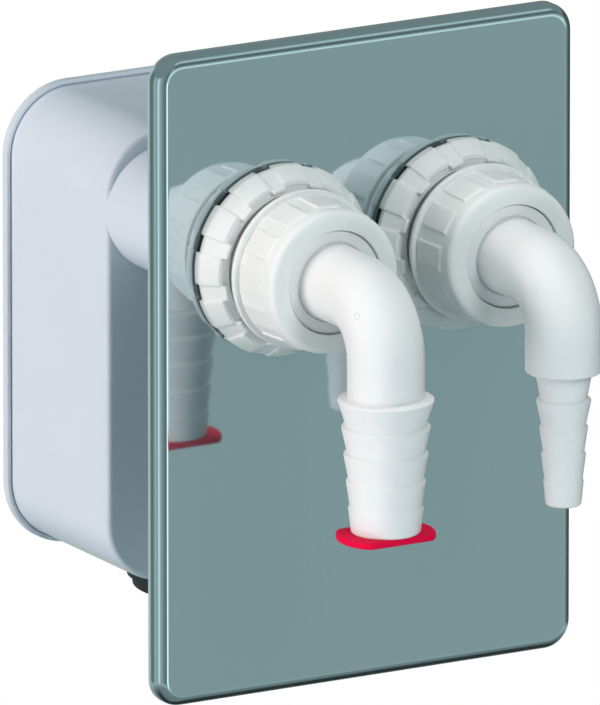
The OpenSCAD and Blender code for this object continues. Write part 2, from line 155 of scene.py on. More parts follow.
class ElbowSettings(bpy.types.PropertyGroup):
    pipe_radius: FloatProperty(
        name="Pipe radius", description="Outside radius of the elbow's pipe",
        default=10.45 * MM, unit="LENGTH")
    bore_radius: FloatProperty(
        name="Bore radius", description="Inside radius of the elbow's pipe",
        default=8.2 * MM, unit="LENGTH")
    bend_radius: FloatProperty(
        name="Bend radius", description="Radius of the bend on its centre line",
        default=15.5 * MM, unit="LENGTH")
    reach: FloatProperty(
        name="Reach", description="Distance from the plate to the leg's axis",
        default=57.8 * MM, unit="LENGTH")
    leg: FloatProperty(
        name="Leg", description="Length of the leg below the inlet axis",
        default=INLET_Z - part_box("elbow_left")[0].z, unit="LENGTH")
    first_barb: FloatProperty(
        name="First barb", description="Distance from the inlet axis down to the first barb",
        default=25.7 * MM, unit="LENGTH")
    barb_pitch: FloatProperty(
        name="Barb pitch", description="Distance between two barbs",
        default=7.5 * MM, unit="LENGTH")
    plug_radius: FloatProperty(
        name="Plug radius", description="Radius of the plug's flange",
        default=extent_of("blanking_plug").x / 2, unit="LENGTH")
    plug_flat: FloatProperty(
        name="Plug flat", description="Distance of the flange's flats from its axis",
        default=extent_of("blanking_plug").y / 2, unit="LENGTH")
    plug_flange: FloatProperty(
        name="Plug flange", description="Thickness of the plug's flange",
        default=1.9 * MM, unit="LENGTH")


class FinishSettings(bpy.types.PropertyGroup):
    housing_colour: FloatVectorProperty(
        name="Housing", description="Colour of the housing's plastic",
        default=(0.70, 0.755, 0.835), subtype="COLOR", size=3, min=0, max=1)
    nut_colour: FloatVectorProperty(
        name="Nuts", description="Colour of the nuts' plastic",
        default=(0.785, 0.795, 0.785), subtype="COLOR", size=3, min=0, max=1)
    elbow_colour: FloatVectorProperty(
        name="Elbows", description="Colour of the elbows' plastic",
        default=(0.75, 0.75, 0.75), subtype="COLOR", size=3, min=0, max=1)
    steel_colour: FloatVectorProperty(
        name="Steel", description="Reflected colour of the polished plate",
        default=(0.61, 0.72, 0.765), subtype="COLOR", size=3, min=0, max=1)
    rubber_colour: FloatVectorProperty(
        name="Rubber", description="Colour of the gaskets and seals",
        default=(0.02, 0.024, 0.025), subtype="COLOR", size=3, min=0, max=1)
    plug_colour: FloatVectorProperty(
        name="Plug", description="Colour of the blanking plug",
        default=(0.72, 0.004, 0.05), subtype="COLOR", size=3, min=0, max=1)


class StudioSettings(bpy.types.PropertyGroup):
    azimuth: FloatProperty(
        name="Azimuth", description="Camera's turn to the left of the trap's front",
        default=math.radians(30), subtype="ANGLE")
    elevation: FloatProperty(
        name="Elevation", description="Camera's height angle",
        default=math.radians(15), subtype="ANGLE")
    distance: FloatProperty(
        name="Distance", description="Camera's distance from the trap",
        default=7.6, unit="LENGTH")
    pixels_per_mm: FloatProperty(
        name="Scale", description="Picture pixels for each millimetre of the trap",
        default=3.705, min=0.1)
    inlets_x: FloatProperty(
        name="Inlets across", description="Picture column of the point midway between the inlets",
        default=367.0)
    inlets_y: FloatProperty(
        name="Inlets down", description="Picture row of the point midway between the inlets",
        default=244.6)
    floor_drop: FloatProperty(
        name="Floor drop", description="Distance from the trap's lowest point to the floor",
        default=0.24, unit="LENGTH")
    key_power: FloatProperty(
        name="Key", description="Power of the large lamp on the left", default=25, unit="POWER")
    front_power: FloatProperty(
        name="Front", description="Power of the soft lamp in front", default=13, unit="POWER")
    top_power: FloatProperty(
        name="Top", description="Power of the lamp over the fittings", default=3.4, unit="POWER")
    back_power: FloatProperty(
        name="Back", description="Power of the lamp behind the housing", default=13, unit="POWER")
    side_power: FloatProperty(
        name="Side", description="Power of the lamp that reaches the fittings from the front left",
        default=4.1, unit="POWER")


# Mesh helpers


def rounded(corners, steps=3):
    """A closed outline with an arc at each corner. Each corner is (x, y, radius)."""
    points = []
    count = len(corners)
    for i, (x, y, radius) in enumerate(corners):
        here = Vector((x, y))
        before = Vector(corners[i - 1][:2]) - here
        after = Vector(corners[(i + 1) % count][:2]) - here
        turn = math.pi - before.angle(after)
        reach = min(radius * math.tan(turn / 2), 0.45 * before.length, 0.45 * after.length)
        start = here + before.normalized() * reach
        end = here + after.normalized() * reach
        for k in range(steps + 1):
            f = k / steps
            points.append((1 - f) ** 2 * start + 2 * f * (1 - f) * here + f ** 2 * end)
    return points


def rounded_rectangle(width, height, radius, steps):
    """A closed outline about the origin, with steps along each corner."""
    points = []
    for k, (sx, sy) in enumerate(((1, 1), (-1, 1), (-1, -1), (1, -1))):
        for i in range(steps + 1):
            angle = math.pi / 2 * (k + i / steps)
            points.append((sx * (width / 2 - radius) + radius * math.cos(angle),
                           sy * (height / 2 - radius) + radius * math.sin(angle)))
    return points


def turns(count):
    """Angles that divide a full turn evenly."""
    return [2 * math.pi * i / count for i in range(count)]


def ease(f):
    return f * f * (3 - 2 * f)


def bridge(mesh, first, second):
    """Joins two closed rings of as many vertices by quads."""
    faces = []
    for i in range(len(first)):
        j = (i + 1) % len(first)
        faces.append(mesh.faces.new((first[i], first[j], second[j], second[i])))
    return faces


def lofted(name, rings, matrix):
    """A smooth mesh through rings of points, the last ring joined to the first."""
    mesh = bmesh.new()
    made = [[mesh.verts.new(matrix @ Vector(p)) for p in ring] for ring in rings]
    for first, second in zip(made, made[1:] + made[:1]):
        bridge(mesh, first, second)
    return finished(name, mesh)


def finished(name, mesh):
    """Turns a bmesh into a smooth-shaded object, with its normals outward."""
    bmesh.ops.remove_doubles(mesh, verts=mesh.verts, dist=1e-7)
    bmesh.ops.recalc_face_normals(mesh, faces=mesh.faces)
    data = bpy.data.meshes.new(name)
    mesh.to_mesh(data)
    mesh.free()
    data.shade_smooth()
    piece = bpy.data.objects.new(name, data)
    bpy.context.scene.collection.objects.link(piece)
    return piece


def on_inlet(side):
    """From a turned piece's own space, z out of the wall from the plate's face, to the frame."""
    place = Matrix.Translation((SIDES[side] * INLET_X, PLATE_FACE_Y, INLET_Z))
    return place @ Matrix.Rotation(math.pi / 2, 4, "X")


def placed(piece, body, slot, material, *nodes):
    """Hands a piece to the frame: its body, its finish and the CAD nodes that it stands for."""
    piece.data.materials.append(material)
    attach(piece, body)
    if nodes:
        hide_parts(*nodes)
    return piece


# Shader helpers


def new_group(name, inputs, outputs):
    """An empty shader group with named float or colour sockets."""
    group = bpy.data.node_groups.new(name, "ShaderNodeTree")
    for label, kind, value in inputs:
        socket = group.interface.new_socket(label, in_out="INPUT", socket_type=kind)
        socket.default_value = value
    for label, kind in outputs:
        group.interface.new_socket(label, in_out="OUTPUT", socket_type=kind)
    return group


def math_node(tree, operation, a, b):
    node = tree.nodes.new("ShaderNodeMath")
    node.operation = operation
    for socket, value in zip(node.inputs, (a, b)):
        if isinstance(value, (int, float)):
            socket.default_value = value
        else:
            tree.links.new(value, socket)
    return node.outputs[0]


def noise_node(tree, place, scale, detail, stretch=None):
    node = tree.nodes.new("ShaderNodeTexNoise")
    node.inputs["Detail"].default_value = detail
    if isinstance(scale, (int, float)):
        node.inputs["Scale"].default_value = scale
    else:
        tree.links.new(scale, node.inputs["Scale"])
    if stretch:
        mapping = tree.nodes.new("ShaderNodeMapping")
        mapping.inputs["Scale"].default_value = stretch
        tree.links.new(place, mapping.inputs["Vector"])
        place = mapping.outputs["Vector"]
    tree.links.new(place, node.inputs["Vector"])
    return node.outputs["Fac"]


def moulded_skin_group():
    """Fine grain and slow tone drift of moulded plastic and rubber."""
    group = bpy.data.node_groups.get("Moulded skin")
    if group:
        return group
    group = new_group(
        "Moulded skin",
        [("Colour", "NodeSocketColor", (0.8, 0.8, 0.8, 1)),
         ("Drift", "NodeSocketFloat", 0.03),
         ("Grain size", "NodeSocketFloat", 2200.0),
         ("Roughness", "NodeSocketFloat", 0.4),
         ("Roughness drift", "NodeSocketFloat", 0.08)],
        [("Colour", "NodeSocketColor"), ("Roughness", "NodeSocketFloat"),
         ("Height", "NodeSocketFloat")])
    nodes, links = group.nodes, group.links
    inside, outside = nodes.new("NodeGroupInput"), nodes.new("NodeGroupOutput")
    place = nodes.new("ShaderNodeTexCoord").outputs["Object"]
    slow = noise_node(group, place, scale=28.0, detail=2.0)
    grain = noise_node(group, place, scale=inside.outputs["Grain size"], detail=2.0)
    swing = math_node(group, "SUBTRACT", slow, 0.5)
    level = math_node(
        group, "ADD", 1.0, math_node(group, "MULTIPLY", swing, inside.outputs["Drift"]))
    tint = nodes.new("ShaderNodeVectorMath")
    tint.operation = "SCALE"
    links.new(inside.outputs["Colour"], tint.inputs[0])
    links.new(level, tint.inputs["Scale"])
    links.new(tint.outputs[0], outside.inputs["Colour"])
    links.new(
        math_node(group, "ADD", inside.outputs["Roughness"],
                  math_node(group, "MULTIPLY", swing, inside.outputs["Roughness drift"])),
        outside.inputs["Roughness"])
    links.new(grain, outside.inputs["Height"])
    return group


def plastic(name, colour, roughness, grain_size=2200.0, grain=0.05, drift=0.04,
            subsurface=0.12, edge=0.3 * MM, gloss=0.5):
    """Moulded plastic or rubber: grain and drift from the shared group, and softened edges."""
    material = bpy.data.materials.get(name)
    if material:
        return material
    material = bpy.data.materials.new(name)
    material.use_nodes = True
    tree = material.node_tree
    shader = tree.nodes["Principled BSDF"]
    skin = tree.nodes.new("ShaderNodeGroup")
    skin.node_tree = moulded_skin_group()
    skin.inputs["Colour"].default_value = (*colour, 1)
    skin.inputs["Drift"].default_value = drift
    skin.inputs["Grain size"].default_value = grain_size
    skin.inputs["Roughness"].default_value = roughness
    tree.links.new(skin.outputs["Colour"], shader.inputs["Base Color"])
    tree.links.new(skin.outputs["Roughness"], shader.inputs["Roughness"])
    bump = tree.nodes.new("ShaderNodeBump")
    bump.inputs["Strength"].default_value = grain
    bump.inputs["Distance"].default_value = 0.1 * MM
    tree.links.new(skin.outputs["Height"], bump.inputs["Height"])
    if edge:
        soft = tree.nodes.new("ShaderNodeBevel")
        soft.samples = 6
        soft.inputs["Radius"].default_value = edge
        tree.links.new(soft.outputs["Normal"], bump.inputs["Normal"])
    tree.links.new(bump.outputs["Normal"], shader.inputs["Normal"])
    shader.inputs["IOR"].default_value = 1.49
    shader.inputs["Specular IOR Level"].default_value = gloss
    shader.inputs["Subsurface Weight"].default_value = subsurface
    shader.inputs["Subsurface Radius"].default_value = (1.0, 1.0, 1.0)
    shader.inputs["Subsurface Scale"].default_value = 1.5 * MM
    return material


def polished_steel(name, colour):
    """Polished sheet steel with a faint drawn grain and wiping marks."""
    material = bpy.data.materials.get(name)
    if material:
        return material
    smooth, smeared, darker = 0.03, 0.03, 0.96
    material = bpy.data.materials.new(name)
    material.use_nodes = True
    tree = material.node_tree
    shader = tree.nodes["Principled BSDF"]
    place = tree.nodes.new("ShaderNodeTexCoord").outputs["Object"]
    drawn = noise_node(tree, place, scale=900.0, detail=2.0, stretch=(1.0, 1.0, 0.02))
    wiped = noise_node(tree, place, scale=22.0, detail=4.0)
    level = math_node(tree, "ADD", smooth, math_node(tree, "MULTIPLY", wiped, smeared))
    tree.links.new(level, shader.inputs["Roughness"])
    tint = tree.nodes.new("ShaderNodeMix")
    tint.data_type = "RGBA"
    tint.inputs["A"].default_value = (*colour, 1)
    tint.inputs["B"].default_value = (*(darker * c for c in colour), 1)
    tree.links.new(drawn, tint.inputs["Factor"])
    tree.links.new(tint.outputs["Result"], shader.inputs["Base Color"])
    bump = tree.nodes.new("ShaderNodeBump")
    bump.inputs["Strength"].default_value = 0.015
    bump.inputs["Distance"].default_value = 0.02 * MM
    tree.links.new(drawn, bump.inputs["Height"])
    tree.links.new(bump.outputs["Normal"], shader.inputs["Normal"])
    # A little short of a mirror, for the haze of handled steel
    shader.inputs["Metallic"].default_value = 0.95
    return material


def finishes():
    """The trap's materials by the record's slot names."""
    colours = bpy.context.scene.trap_finish
    return {
        "pale_plastic": plastic("Housing plastic", colours.housing_colour, 0.25, edge=0.35 * MM),
        "white_plastic": plastic("Nut plastic", colours.nut_colour, 0.3, edge=0),
        "elbow_plastic": plastic("Elbow plastic", colours.elbow_colour, 0.3, edge=0),
        "threaded_plastic": plastic("Thread plastic", colours.nut_colour, 0.42, edge=0.2 * MM),
        "washer_plastic": plastic("Washer plastic", (0.6, 0.6, 0.56), 0.5),
        "black_rubber": plastic(
            "Seal rubber", colours.rubber_colour, 0.62, grain_size=3500.0, grain=0.12,
            drift=0.25, subsurface=0.0),
        "red_plastic": plastic(
            "Plug plastic", colours.plug_colour, 0.5, subsurface=0.05, edge=0, gloss=0.05),
        "polished_steel": polished_steel("Polished steel", colours.steel_colour),
    }


# Pieces


class TRAP_OT_plate(bpy.types.Operator):
    """Rolls the steel cover plate"""
    bl_idname = "trap.plate"
    bl_label = "Cover plate"

    ROLL_STEPS = 14
    CORNER_STEPS = 12
    HOLE_STEPS = 96

    def section(self, size):
        """Inset from the outer side and depth behind the face, from the face to the inside."""
        flat = size.roll_radius + 0.5 * MM
        inner_roll = size.roll_radius - size.sheet
        rim = 0.3 * MM
        section = [(flat, 0)]
        for i in range(self.ROLL_STEPS + 1):
            angle = math.pi / 2 * i / self.ROLL_STEPS
            section.append((size.roll_radius * (1 - math.sin(angle)),
                            size.roll_radius * (1 - math.cos(angle))))
        section += [
            (0, size.depth - rim), (rim * 0.3, size.depth - rim * 0.3), (rim, size.depth),
            (size.sheet - rim, size.depth), (size.sheet - rim * 0.3, size.depth - rim * 0.3),
            (size.sheet, size.depth - rim)]
        for i in range(self.ROLL_STEPS + 1):
            angle = math.pi / 2 * (1 - i / self.ROLL_STEPS)
            section.append((size.roll_radius - inner_roll * math.sin(angle),
                            size.roll_radius - inner_roll * math.cos(angle)))
        section.append((flat, size.sheet))
        return section

    def execute(self, context):
        size = context.scene.trap_plate
        low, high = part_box("cover_plate")
        centre_z = (low.z + high.z) / 2
        mesh = bmesh.new()
        rings = []
        for inset, depth in self.section(size):
            ring = rounded_rectangle(size.width - 2 * inset, size.height - 2 * inset,
                                     size.corner_radius - inset, self.CORNER_STEPS)
            rings.append([
                mesh.verts.new((x, PLATE_FACE_Y + depth, centre_z + y)) for x, y in ring])
        for first, second in zip(rings, rings[1:]):
            bridge(mesh, first, second)
        hole_rims = []
        for ring, depth in ((rings[0], 0), (rings[-1], size.sheet)):
            holes = []
            for sign in (-1, 1):
                holes.append([
                    mesh.verts.new((sign * INLET_X + size.hole_radius * math.cos(a),
                                    PLATE_FACE_Y + depth,
                                    INLET_Z + size.hole_radius * math.sin(a)))
                    for a in turns(self.HOLE_STEPS)])
            hole_rims.append(holes)
            verts = ring + holes[0] + holes[1]
            loops = [[v.co for v in ring], [v.co for v in holes[0]], [v.co for v in holes[1]]]
            for a, b, c in tessellate_polygon(loops):
                mesh.faces.new((verts[a], verts[b], verts[c]))
        for front, back in zip(*hole_rims):
            for wall in bridge(mesh, front, back):
                for edge in wall.edges:
                    edge.smooth = False
        piece = finished("plate_steel", mesh)
        placed(piece, "trap", "polished_steel", finishes()["polished_steel"], "cover_plate")
        return {"FINISHED"}


def sectors(size, radius):
    """Angles round a nut with the share of pad at each: 1 on a pad, 0 in a channel."""
    wall_steps, top_steps, channel_steps = 5, 8, 4
    step = 2 * math.pi / size.pads
    wall = size.wall / radius
    top = size.pad_angle - 2 * wall
    channel = step - size.pad_angle
    stops = []
    for k in range(size.pads):
        start = size.phase + channel / 2 + k * step
        stops += [(start + wall * i / wall_steps, ease(i / wall_steps)) for i in range(wall_steps)]
        stops += [(start + wall + top * i / top_steps, 1.0) for i in range(top_steps + 1)]
        stops += [(start + wall + top + wall * i / wall_steps, ease(1 - i / wall_steps))
                  for i in range(1, wall_steps)]
        stops += [(start + size.pad_angle + channel * i / channel_steps, 0.0)
                  for i in range(channel_steps)]
    return stops


def padded_nut(name, side, size, radius, channel, pad, flat=0.0):
    """A nut whose section changes from channel to pad and back round its axis.

    flat is the share by which a pad's top is flat instead of round.
    """
    step = 2 * math.pi / size.pads
    channel, pad = rounded(channel), rounded(pad)
    rings = []
    for angle, share in sectors(size, radius):
        off_centre = (angle - size.phase) % step - step / 2
        squash = 1 + flat * share * (math.cos(size.pad_angle / 2) / math.cos(off_centre) - 1)
        ring = []
        for a, b in zip(channel, pad):
            r, z = a.lerp(b, share)
            raised = share > 0 and (b - a).length > 1e-6
            r = r * squash if raised else r
            ring.append((r * math.cos(angle), r * math.sin(angle), z))
        rings.append(ring)
    return lofted(name, rings, on_inlet(side))


class TRAP_OT_ring_nuts(bpy.types.Operator):
    """Moulds the two castellated ring nuts that clamp the plate"""
    bl_idname = "trap.ring_nuts"
    bl_label = "Ring nuts"

    def execute(self, context):
        size = context.scene.trap_nuts
        out, top, e = size.ring_radius, size.ring_height, size.edge_radius
        bore = 18.75 * MM
        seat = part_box("wall_gasket_left")[1].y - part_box("wall_gasket_left")[0].y + 0.1 * MM
        skirt = out - 1.5 * MM
        rise = 0.45 * MM
        shoulder = 3.4 * MM
        pad_top = top - 1.5 * MM
        pad_r = out - 3.1 * MM
        crown_r = pad_r - rise
        well = 4.4 * MM
        ledge = pad_top - 0.15 * MM
        channel = [
            (bore, seat, e), (skirt, seat, e), (skirt + 0.1 * MM, seat + 0.05 * MM, e),
            (out - rise, seat + 0.05 * MM, e), (out - rise, shoulder, 2 * e),
            (crown_r - 0.1 * MM, pad_top, e), (crown_r - 0.5 * MM, top, e),
            (crown_r - 1.4 * MM, top, e), (crown_r - 1.5 * MM, ledge, e),
            (crown_r - 3 * MM, ledge, e), (crown_r - 3.2 * MM, well, e), (bore, well, e)]
        pad = [
            (bore, seat, e), (skirt - 0.1 * MM, seat, e), (skirt, 0.7 * MM, e),
            (out, 0.7 * MM, e), (out, shoulder, 2 * e),
            (pad_r + 0.05 * MM, pad_top - 0.1 * MM, e), (crown_r - 0.5 * MM, pad_top, e),
            (crown_r - 0.7 * MM, pad_top, e), (crown_r - 1 * MM, ledge, e),
            (crown_r - 3 * MM, ledge, e), (crown_r - 3.2 * MM, well, e), (bore, well, e)]
        for side in SIDES:
            piece = padded_nut(f"ring_nut_body_{side}", side, size, out, channel, pad)
            placed(piece, "trap", "white_plastic", finishes()["white_plastic"],
                   f"ring_nut_{side}")
        return {"FINISHED"}


class TRAP_OT_union_nuts(bpy.types.Operator):
    """Moulds the two union nuts with their rear bead and raised grip pads"""
    bl_idname = "trap.union_nuts"
    bl_label = "Union nuts"

    def execute(self, context):
        size = context.scene.trap_nuts
        out, front, e = size.union_radius, size.union_front, size.edge_radius
        rear = 11.6 * MM
        body = out - 1.45 * MM
        front_r = 19.85 * MM
        hole, lip = 14.4 * MM, 3.8 * MM
        cavity = 17.3 * MM
        bead, bead_end = 12.6 * MM, 14.3 * MM
        low, high, end = 15.0 * MM, 25.7 * MM, 26.4 * MM
        edge = 2.4 * MM
        rise = 0.5 * MM
        slope = (body - front_r) / (front - low)
        high_r = body - slope * (high - low)
        end_r = body - slope * (end - low)
        tail = [
            (front_r - 0.05 * MM, front, edge),
            (hole + 0.1 * MM, front, 1.5 * e), (hole, front - 0.3 * MM, e),
            (hole, front - lip, e), (cavity, front - lip, e), (cavity, rear + 0.4 * MM, e)]
        head = [
            (cavity + 0.4 * MM, rear, e), (body - 0.5 * MM, rear, e), (body, bead - 0.05 * MM, e),
            (out - 0.1 * MM, bead, 3 * e), (out, bead + 0.85 * MM, 2 * e),
            (out - 0.1 * MM, bead_end, 3 * e), (body, bead_end + 0.05 * MM, e),
            (body, bead_end + 0.3 * MM, e)]
        channel = head + [
            (body, low, e), (body - slope * 0.3 * MM, low + 0.3 * MM, e), (high_r, high, e),
            (end_r, end, e)] + tail
        pad = head + [
            (body + 0.05 * MM, low, e), (body + rise, low + 0.15 * MM, e),
            (high_r + rise, high, 2 * e), (end_r, end, e)] + tail
        for side in SIDES:
            piece = padded_nut(f"union_nut_body_{side}", side, size, out, channel, pad, flat=1.0)
            placed(piece, "trap", "white_plastic", finishes()["white_plastic"],
                   f"union_nut_{side}")
        return {"FINISHED"}


class TRAP_OT_elbows(bpy.types.Operator):
    """Moulds the two elbows with their barbed hose tails"""
    bl_idname = "trap.elbows"
    bl_label = "Elbows"

    AROUND = 96
    BEND_STEPS = 28
    MARK_STEPS = 32
    MARK_TUBE_STEPS = 10
    # How far the elbow's collar is shown inside the union nut's front
    HUB_DEPTH = 3.6 * MM
    # Diameters of the barbs' crests and of the waists below them, and radius of the bore, in mm
    TAILS = {
        "left": {"crests": (26.1, 24.1, 22.9, 21.5, 20.3), "feet": (21.9, 21.2, 20.4, 19.6, 18.9),
                 "bore": 7.9},
        "right": {"crests": (15.3, 14.9, 13.2, 12.1, 10.9), "feet": (12.8, 12.1, 11.2, 10.4, 9.7),
                  "bore": 3.4},
    }

    def tail(self, size, side):
        """Radius and distance below the inlet axis, down the outside of the barbed tail."""
        shape = self.TAILS[side]
        pipe, first = size.pipe_radius, size.first_barb
        soft = 0.22 * MM
        corners = [(pipe, size.bend_radius + 1 * MM, 0)]
        if side == "left":
            corners += [(pipe, first - 0.5 * MM, 0.3 * MM)]
        else:
            corners += [(pipe, first - 0.45 * MM, 0.4 * MM),
                        (pipe - 0.45 * MM, first - 0.1 * MM, 0.3 * MM),
                        (shape["crests"][0] / 2 * MM, first - 0.1 * MM, 0.3 * MM)]
        count = len(shape["crests"])
        for i, (crest, foot) in enumerate(zip(shape["crests"], shape["feet"])):
            top = first + i * size.barb_pitch
            last = i == count - 1
            foot_at = size.leg - 0.4 * MM if last else top + size.barb_pitch - 0.5 * MM
            if i or side == "left":
                corners.append((crest / 2 * MM - 0.25 * MM, top, soft))
            corners.append((crest / 2 * MM, top + 0.35 * MM, soft))
            corners.append((foot / 2 * MM, foot_at, soft if last else 0.5 * MM))
        foot = shape["feet"][-1] / 2 * MM
        bore = shape["bore"] * MM
        corners += [(foot - 0.35 * MM, size.leg, soft), (bore + 0.1 * MM, size.leg, soft),
                    (bore, size.leg - 0.5 * MM, soft), (bore, first + 1 * MM, 1 * MM),
                    (size.bore_radius, first - 2.2 * MM, 1 * MM),
                    (size.bore_radius, size.bend_radius + 1 * MM, 0)]
        return self.open_rounded(corners)

    def head(self, size, nuts):
        """Radius and distance from the plate, out of the union nut to the bend."""
        front = nuts.union_front
        pipe = size.pipe_radius
        hub = 14.25 * MM
        hub_end = front - 1 * MM
        corners = [
            (hub, front - self.HUB_DEPTH, 0), (hub, hub_end, 0.35 * MM),
            (pipe + 0.75 * MM, hub_end + 0.05 * MM, 0.2 * MM),
            (pipe + 0.35 * MM, hub_end - 0.5 * MM, 0.15 * MM),
            (pipe, hub_end - 0.45 * MM, 0.15 * MM), (pipe, size.reach - size.bend_radius, 0)]
        return self.open_rounded(corners)

    @staticmethod
    def open_rounded(corners, steps=4):
        """Like rounded, for an open line whose two ends stay as they are."""
        points = rounded(corners, steps)
        return [Vector(corners[0][:2])] + points[steps + 1:-steps - 1] + [Vector(corners[-1][:2])]

    def ring(self, centre, out, radius):
        """A circle about centre across the path; out points away from the bend's centre."""
        across = Vector((1, 0, 0))
        return [centre + radius * (math.cos(a) * across + math.sin(a) * out)
                for a in turns(self.AROUND)]

    def execute(self, context):
        size, nuts = context.scene.trap_elbows, context.scene.trap_nuts
        start = size.reach - size.bend_radius
        up, forward = Vector((0, 1, 0)), Vector((0, 0, 1))
        turn_centre = Vector((0, -size.bend_radius, start))
        for side in SIDES:
            rings = [self.ring(Vector((0, 0, z)), up, r) for r, z in self.head(size, nuts)]
            bend = []
            for i in range(1, self.BEND_STEPS):
                a = math.pi / 2 * i / self.BEND_STEPS
                out = math.cos(a) * up + math.sin(a) * forward
                bend.append((turn_centre + size.bend_radius * out, out))
            rings += [self.ring(c, out, size.pipe_radius) for c, out in bend]
            rings += [self.ring(Vector((0, -y, size.reach)), forward, r)
                      for r, y in self.tail(size, side)]
            rings += [self.ring(c, out, size.bore_radius) for c, out in reversed(bend)]
            rings.append(self.ring(Vector((0, 0, start)), up, size.bore_radius))
            rings.append(self.ring(Vector((0, 0, nuts.union_front - self.HUB_DEPTH)), up,
                                   size.bore_radius))
            piece = lofted(f"elbow_body_{side}", rings, on_inlet(side))
            placed(piece, BODY_OF_SIDE[side], "elbow_plastic", finishes()["elbow_plastic"],
                   f"elbow_{side}")
            gate = self.gate_mark(size, side)
            placed(gate, BODY_OF_SIDE[side], "elbow_plastic", finishes()["elbow_plastic"])
        return {"FINISHED"}

    def gate_mark(self, size, side):
        """The low moulded ring where the plastic was fed in, on the outer side of the bend."""
        radius, tube = 0.75 * MM, 0.2 * MM
        along, round_pipe = math.radians(48), math.radians(30)
        ahead = Vector((0, math.cos(along), math.sin(along)))
        normal = math.sin(round_pipe) * ahead - math.cos(round_pipe) * Vector((1, 0, 0))
        centre = Vector((0, -size.bend_radius, size.reach - size.bend_radius))
        centre += size.bend_radius * ahead + (size.pipe_radius - 0.05 * MM) * normal
        first = normal.orthogonal().normalized()
        second = normal.cross(first)
        rings = []
        for a in turns(self.MARK_STEPS):
            out = math.cos(a) * first + math.sin(a) * second
            rings.append([centre + (radius + tube * math.cos(b)) * out + tube * math.sin(b) * normal
                          for b in turns(self.MARK_TUBE_STEPS)])
        return lofted(f"gate_mark_{side}", rings, on_inlet(side))


class TRAP_OT_plug(bpy.types.Operator):
    """Moulds the red plug that closes the large hose tail"""
    bl_idname = "trap.plug"
    bl_label = "Blanking plug"

    AROUND = 61  # points along each round end
    SOFT = 12  # how many of them bend into a corner
    PULL = 0.05  # share by which the corner itself is pulled in from the flats
    PULL_ALONG = 0.3  # share of that pull by which it also comes in along them
    SLEEVE_STEPS = 64

    def outline(self, radius, flat):
        """A circle cut by two flats, its four corners rounded."""
        half = math.sqrt(radius ** 2 - flat ** 2)
        end = math.atan2(flat, half)
        points = []
        for turn in (0, math.pi):
            for i in range(self.AROUND):
                a = end * (2 * i / (self.AROUND - 1) - 1)
                points.append((radius * math.cos(a + turn), radius * math.sin(a + turn)))
        soft = []
        for i, (x, y) in enumerate(points):
            reach = min(1.0, min(i % self.AROUND, self.AROUND - 1 - i % self.AROUND) / self.SOFT)
            pull = self.PULL * (1 - reach) ** 2
            soft.append((x * (1 - self.PULL_ALONG * pull), y * (1 - pull)))
        return soft

    def execute(self, context):
        size = context.scene.trap_elbows
        low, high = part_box("blanking_plug")
        centre = middle_of("blanking_plug")
        bottom = low.z
        top = bottom + size.plug_flange
        e = 0.6 * MM
        stub, stub_wall = 7.86 * MM, 1.4 * MM
        steps = [(4 * MM, 0), (e, 0), (0.42 * e, 0.12 * e), (0.12 * e, 0.42 * e), (0, e)]
        levels = [(inset, bottom + rise) for inset, rise in steps]
        levels += [(inset, top - rise) for inset, rise in reversed(steps)]
        rings = []
        for inset, z in levels:
            rings.append([(centre.x + x, centre.y + y, z)
                          for x, y in self.outline(size.plug_radius - inset,
                                                   size.plug_flat - inset)])
        mesh = bmesh.new()
        made = [[mesh.verts.new(p) for p in ring] for ring in rings]
        for first, second in zip(made, made[1:]):
            bridge(mesh, first, second)
        mesh.faces.new(made[0])
        mesh.faces.new(made[-1])
        section = rounded([(stub, top - 0.3 * MM, 0.1 * MM), (stub, high.z - 1.2 * MM, 0.5 * MM),
                           (stub - 0.5 * MM, high.z, 0.2 * MM),
                           (stub - stub_wall, high.z, 0.2 * MM),
                           (stub - stub_wall, top - 0.3 * MM, 0.1 * MM)])
        sleeve = [[mesh.verts.new((centre.x + p.x * math.cos(a), centre.y + p.x * math.sin(a), p.y))
                   for p in section] for a in turns(self.SLEEVE_STEPS)]
        for first, second in zip(sleeve, sleeve[1:] + sleeve[:1]):
            bridge(mesh, first, second)
        piece = finished("plug_body", mesh)
        placed(piece, "left_elbow", "red_plastic", finishes()["red_plastic"], "blanking_plug")
        return {"FINISHED"}


class TRAP_OT_cover_rim(bpy.types.Operator):
    """Moulds the rounded lip in front of the rear cover's rim"""
    bl_idname = "trap.cover_rim"
    bl_label = "Rear cover's rim"

    CORNER_STEPS = 16

    def execute(self, context):
        corner = 19.5 * MM
        low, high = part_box("rear_cover")
        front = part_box("housing")[1].y
        cover, middle = high - low, (low + high) / 2
        root, proud = front + 0.1 * MM, front - 0.6 * MM
        # Insets from the cover's outer side; the inner one leaves a narrow gap by the housing
        outer, inner = 0.04 * MM, 1.2 * MM
        section = rounded([(outer, root, 0), (outer, proud, 0.55 * MM),
                           (inner, proud, 0.3 * MM), (inner, root, 0)], 5)
        rings = []
        for inset, depth in section:
            outline = rounded_rectangle(cover.x - 2 * inset, cover.z - 2 * inset, corner - inset,
                                        self.CORNER_STEPS)
            rings.append([(middle.x + x, depth, middle.z + z) for x, z in outline])
        piece = lofted("cover_rim", rings, Matrix.Identity(4))
        placed(piece, "trap", "pale_plastic", finishes()["pale_plastic"])
        return {"FINISHED"}


class TRAP_OT_carried_solids(bpy.types.Operator):
    """Gives the CAD solids that stay in view their finishes"""
    bl_idname = "trap.carried_solids"
    bl_label = "Carried-over solids"

    def execute(self, context):
        made = finishes()
        slots = {s["node"]: s["material_slot"] for s in frame["record"]["subparts"]}
        for node, solid in frame["nodes"].items():
            finish = made[slots[node]]
            if node.startswith("nipple"):
                finish = made["threaded_plastic"]
            solid.data.materials.clear()
            solid.data.materials.append(finish)
        return {"FINISHED"}


